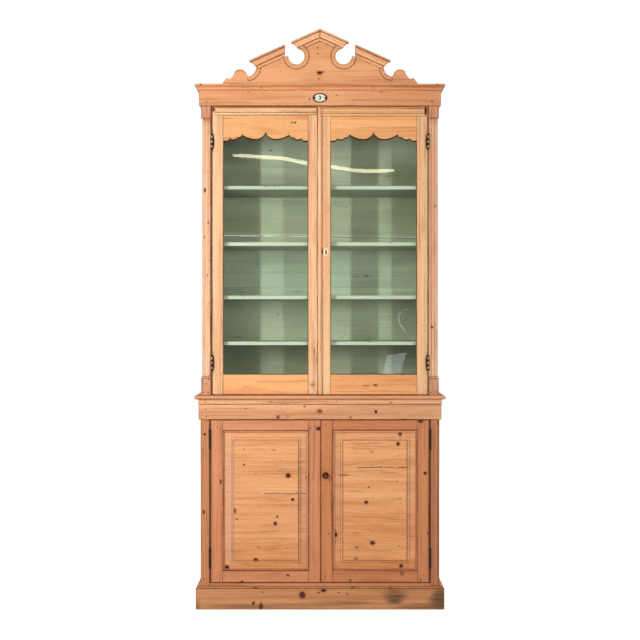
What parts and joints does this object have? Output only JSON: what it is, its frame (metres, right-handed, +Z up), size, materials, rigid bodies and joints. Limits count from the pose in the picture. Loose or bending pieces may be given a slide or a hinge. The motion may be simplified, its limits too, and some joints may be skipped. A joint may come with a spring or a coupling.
{
  "type": "glazed bookcase",
  "caption": "Tall two-stage waxed pine bookcase: panelled cupboard base, glazed upper case with painted shelves, reeded pilasters and a broken pediment.",
  "frame": {"origin": "on the floor, under the middle of the whole bookcase's bounding box", "axes": "+Z up; +Y towards the back, so the doors face -Y; +X to the right of someone facing the doors"},
  "size_m": [1.05, 0.404, 2.431],
  "materials": {
    "pine": "waxed satin",
    "green_paint": "old matt paint",
    "glass": "clear",
    "iron": "dark, worn",
    "bronze": "darkened",
    "enamel": "gloss enamel"
  },
  "bodies": {
    "case": {"plinth_boards": "pine", "base_sides": "pine", "base_stiles": "pine", "base_floor": "pine", "base_back": "pine", "waist_fascia": "pine", "waist_top": "pine", "case_sides": "pine", "case_top": "pine", "case_floor": "green_paint", "case_back": "green_paint", "shelves": "green_paint", "shelf_cleats": "green_paint", "pilasters": "pine", "frieze": "pine", "cornice": "pine", "pediment_board": "pine", "pediment_mouldings": "pine", "pediment_battens": "pine", "number_plate": "enamel", "plate_pins": "iron", "hinge_frame_leaves": "iron", "hinge_pins": "iron", "hinge_frame_screws": "iron"},
    "upper_left_door": {"upper_left_stiles": "pine", "upper_left_rails": "pine", "upper_left_cap": "pine", "upper_left_pane": "glass", "upper_left_glazing_beads": "pine", "upper_left_hinge_leaves": "iron", "upper_left_hinge_screws": "iron", "upper_left_bolt_plate": "iron"},
    "upper_left_bolt": {"upper_left_bolt": "iron"},
    "upper_right_door": {"upper_right_stiles": "pine", "upper_right_rails": "pine", "upper_right_cap": "pine", "upper_right_pane": "glass", "upper_right_glazing_beads": "pine", "upper_right_hinge_leaves": "iron", "upper_right_hinge_screws": "iron", "upper_right_meeting_bead": "pine", "upper_right_lock_escutcheon": "bronze", "upper_right_lock_case": "iron"},
    "lock_bolt": {"upper_right_lock_bolt": "iron"},
    "lower_left_door": {"lower_left_stiles": "pine", "lower_left_rails": "pine", "lower_left_panel": "pine", "lower_left_panel_mouldings": "pine", "lower_left_hinge_leaves": "iron", "lower_left_hinge_screws": "iron", "lower_left_bolt_plate": "iron"},
    "lower_left_bolt": {"lower_left_bolt": "iron"},
    "lower_right_door": {"lower_right_stiles": "pine", "lower_right_rails": "pine", "lower_right_panel": "pine", "lower_right_panel_mouldings": "pine", "lower_right_hinge_leaves": "iron", "lower_right_hinge_screws": "iron"},
    "knob": {"lower_right_knob": "bronze", "lower_right_turn_catch": "iron"}
  },
  "joints": [
    {"name": "upper_left_door_swing", "type": "hinge", "parent": "case", "child": "upper_left_door", "pos_m": [-0.4545, -0.1665, 1.5025], "axis": [0, 0, -1], "range_deg": [0, 110]},
    {"name": "upper_right_door_swing", "type": "hinge", "parent": "case", "child": "upper_right_door", "pos_m": [0.4545, -0.1665, 1.5025], "axis": [0, 0, 1], "range_deg": [0, 110]},
    {"name": "lower_left_door_swing", "type": "hinge", "parent": "case", "child": "lower_left_door", "pos_m": [-0.4615, -0.1725, 0.4505], "axis": [0, 0, -1], "range_deg": [0, 110]},
    {"name": "lower_right_door_swing", "type": "hinge", "parent": "case", "child": "lower_right_door", "pos_m": [0.4615, -0.1725, 0.4505], "axis": [0, 0, 1], "range_deg": [0, 110]},
    {"name": "upper_left_bolt_slide", "type": "slide", "parent": "upper_left_door", "child": "upper_left_bolt", "axis": [0, 0, 1], "range_m": [0, 0.018]},
    {"name": "lower_left_bolt_slide", "type": "slide", "parent": "lower_left_door", "child": "lower_left_bolt", "axis": [0, 0, 1], "range_m": [0, 0.018]},
    {"name": "lock_bolt_slide", "type": "slide", "parent": "upper_right_door", "child": "lock_bolt", "axis": [-1, 0, 0], "range_m": [0, 0.01]},
    {"name": "knob_turn", "type": "hinge", "parent": "lower_right_door", "child": "knob", "pos_m": [0.0235, -0.168, 0.561], "axis": [0, 1, 0], "range_deg": [0, 90]}
  ]
}
